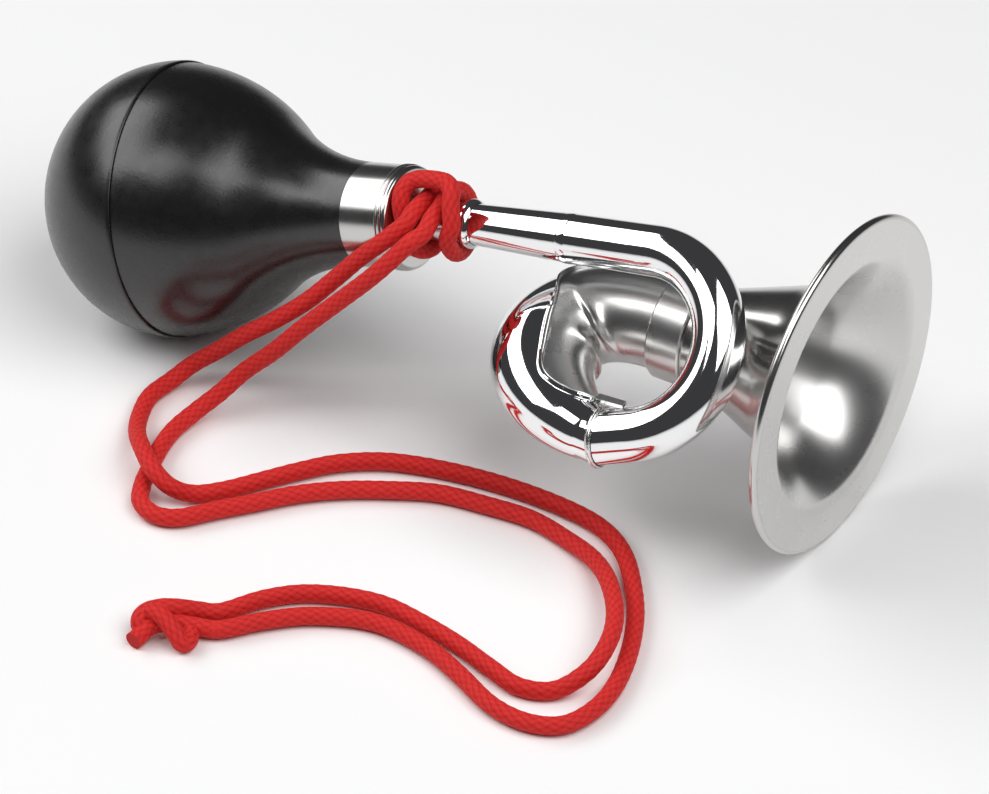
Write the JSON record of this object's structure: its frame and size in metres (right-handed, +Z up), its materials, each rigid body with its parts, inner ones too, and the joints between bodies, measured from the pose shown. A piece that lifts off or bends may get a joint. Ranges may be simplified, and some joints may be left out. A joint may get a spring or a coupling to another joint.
{
  "type": "bulb horn",
  "caption": "Hand horn: a black rubber bulb blows a reed through a once-coiled plated tube into a flared bell, with a red wrist lanyard hitched round its neck.",
  "frame": {"origin": "on the table under the middle of the horn's box, lanyard left out", "axes": "+X out of the bell's mouth along the bell's axis, +Z up, +Y away from the side the lanyard lies on"},
  "size_m": [0.1914, 0.1555, 0.0757],
  "materials": {
    "rubber": "satin moulded rubber",
    "satin_nickel": "satin nickel plate",
    "chrome": "bright plate",
    "solder": "plated soft solder",
    "reed_brass": "bright",
    "cork": "pressed cork",
    "red_cord": "braided cord"
  },
  "bodies": {
    "horn": {"bulb_front": "rubber", "bulb_ferrule": "satin_nickel", "ferrule_cap": "satin_nickel", "neck_collar": "chrome", "neck_tube": "chrome", "neck_solder": "solder", "front_bend": "chrome", "bend_solder": "solder", "elbow_outer_shell": "chrome", "elbow_inner_shell": "satin_nickel", "throat_sleeve": "satin_nickel", "bell": "satin_nickel", "reed_bush": "cork", "reed_shallot": "reed_brass", "reed_wedge": "reed_brass", "lanyard_hitch": "red_cord", "lanyard_far": "red_cord", "lanyard_near": "red_cord", "lanyard_knot": "red_cord"},
    "bulb_back": {"bulb_rear": "rubber"},
    "tongue": {"reed_tongue": "reed_brass"}
  },
  "joints": [
    {"name": "bulb_squeeze", "type": "slide", "parent": "horn", "child": "bulb_back", "axis": [0.9588, 0.0084, 0.284], "range_m": [0, 0.01], "stiffness_N_per_m": 1500, "deforming": ["bulb_front"]},
    {"name": "reed_beat", "type": "hinge", "parent": "horn", "child": "tongue", "pos_m": [-0.0192, -0.00721, 0.04484], "axis": [-0.0087, 1, 0], "range_deg": [-2.2, 0], "stiffness_Nm_per_rad": 0.16}
  ]
}
